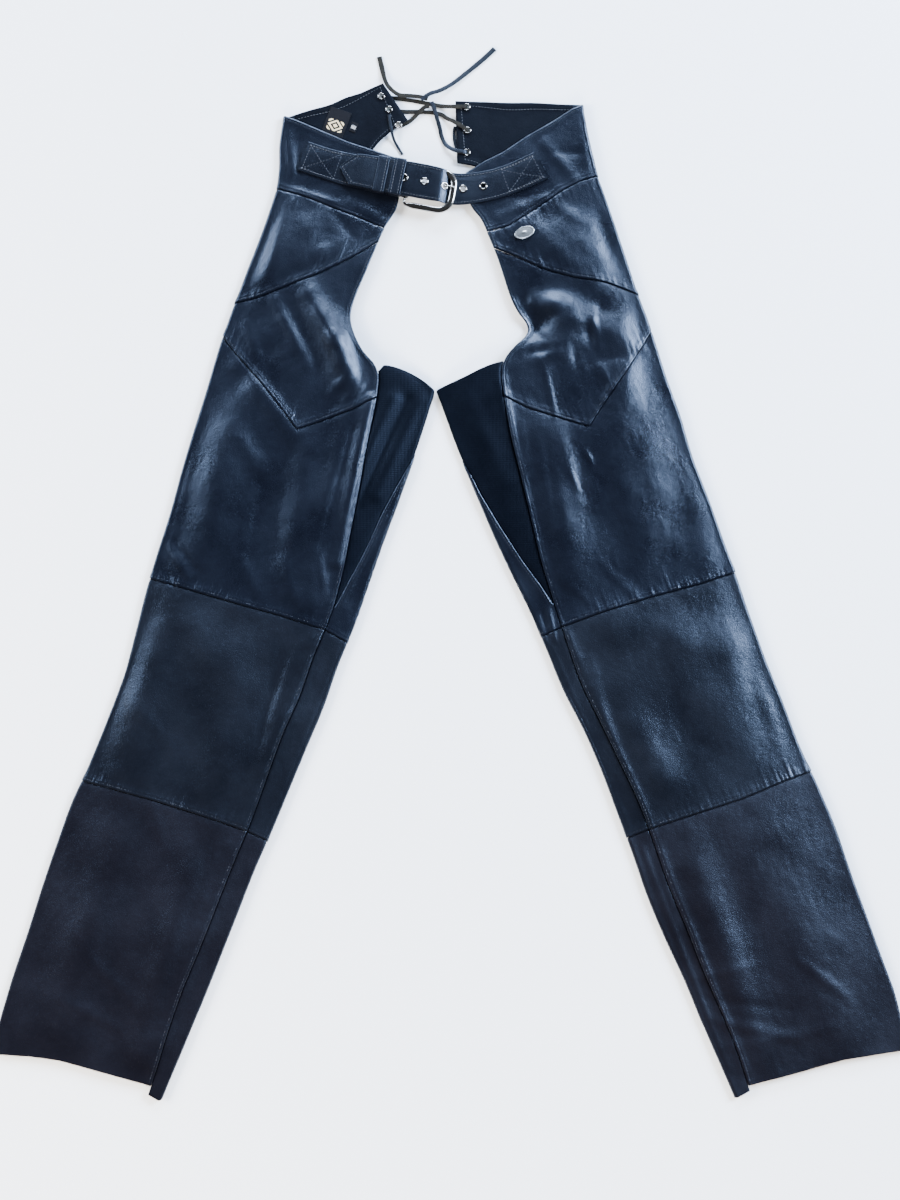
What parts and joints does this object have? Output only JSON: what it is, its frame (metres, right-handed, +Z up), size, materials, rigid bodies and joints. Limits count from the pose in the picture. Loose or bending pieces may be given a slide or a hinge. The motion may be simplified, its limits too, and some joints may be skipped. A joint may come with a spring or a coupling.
{
  "type": "leather chaps",
  "caption": "Leather chaps laid flat: panelled legs open at the seat, stretch inner gussets, laced back yoke and a front waist belt with buckle.",
  "frame": {"origin": "on the surface it lies on, below the middle of the garment, free lace ends left out", "axes": "+Z up from the surface, +Y from the hems towards the waist, +X towards the wearer's left leg"},
  "size_m": [1.0244, 1.2241, 0.0187],
  "materials": {
    "leather": "fine-grained black leather with a soft sheen",
    "lace": "black leather thong with a brown suede side",
    "stretch_fabric": "matte dark knitted stretch cloth",
    "nickel": "nickel plate, lightly worn",
    "woven_label": "dark woven cloth"
  },
  "bodies": {
    "root": {"thigh_upper_right": "leather", "thigh_chevron_right": "leather", "thigh_lower_right": "leather", "knee_front_right": "leather", "shin_front_right": "leather", "thigh_back_right": "leather", "knee_back_right": "leather", "shin_back_right": "leather", "gusset_right": "stretch_fabric", "yoke_right": "leather", "lace_eyelet_right_top": "nickel", "lace_eyelet_right_middle": "nickel", "lace_eyelet_right_bottom": "nickel", "thigh_upper_left": "leather", "thigh_chevron_left": "leather", "thigh_lower_left": "leather", "knee_front_left": "leather", "shin_front_left": "leather", "thigh_back_left": "leather", "knee_back_left": "leather", "shin_back_left": "leather", "gusset_left": "stretch_fabric", "yoke_left": "leather", "lace_eyelet_left_top": "nickel", "lace_eyelet_left_middle": "nickel", "lace_eyelet_left_bottom": "nickel", "strap_left": "leather", "strap_right": "leather", "belt_eyelet_a": "nickel", "belt_eyelet_b": "nickel", "belt_eyelet_c": "nickel", "belt_eyelet_d": "nickel", "belt_eyelet_e": "nickel", "keeper_loose": "leather", "keeper_sewn": "leather", "buckle_frame": "nickel", "buckle_prong": "nickel", "inside_label": "woven_label", "size_tag": "woven_label", "badge": "nickel", "lace_run_upper": "lace", "lace_run_middle": "lace", "lace_run_lower": "lace", "lace_crossing": "lace", "lace_side": "lace", "lace_tail_right": "lace", "lace_tail_left": "lace", "lace_tail_lower": "lace"}
  },
  "joints": []
}
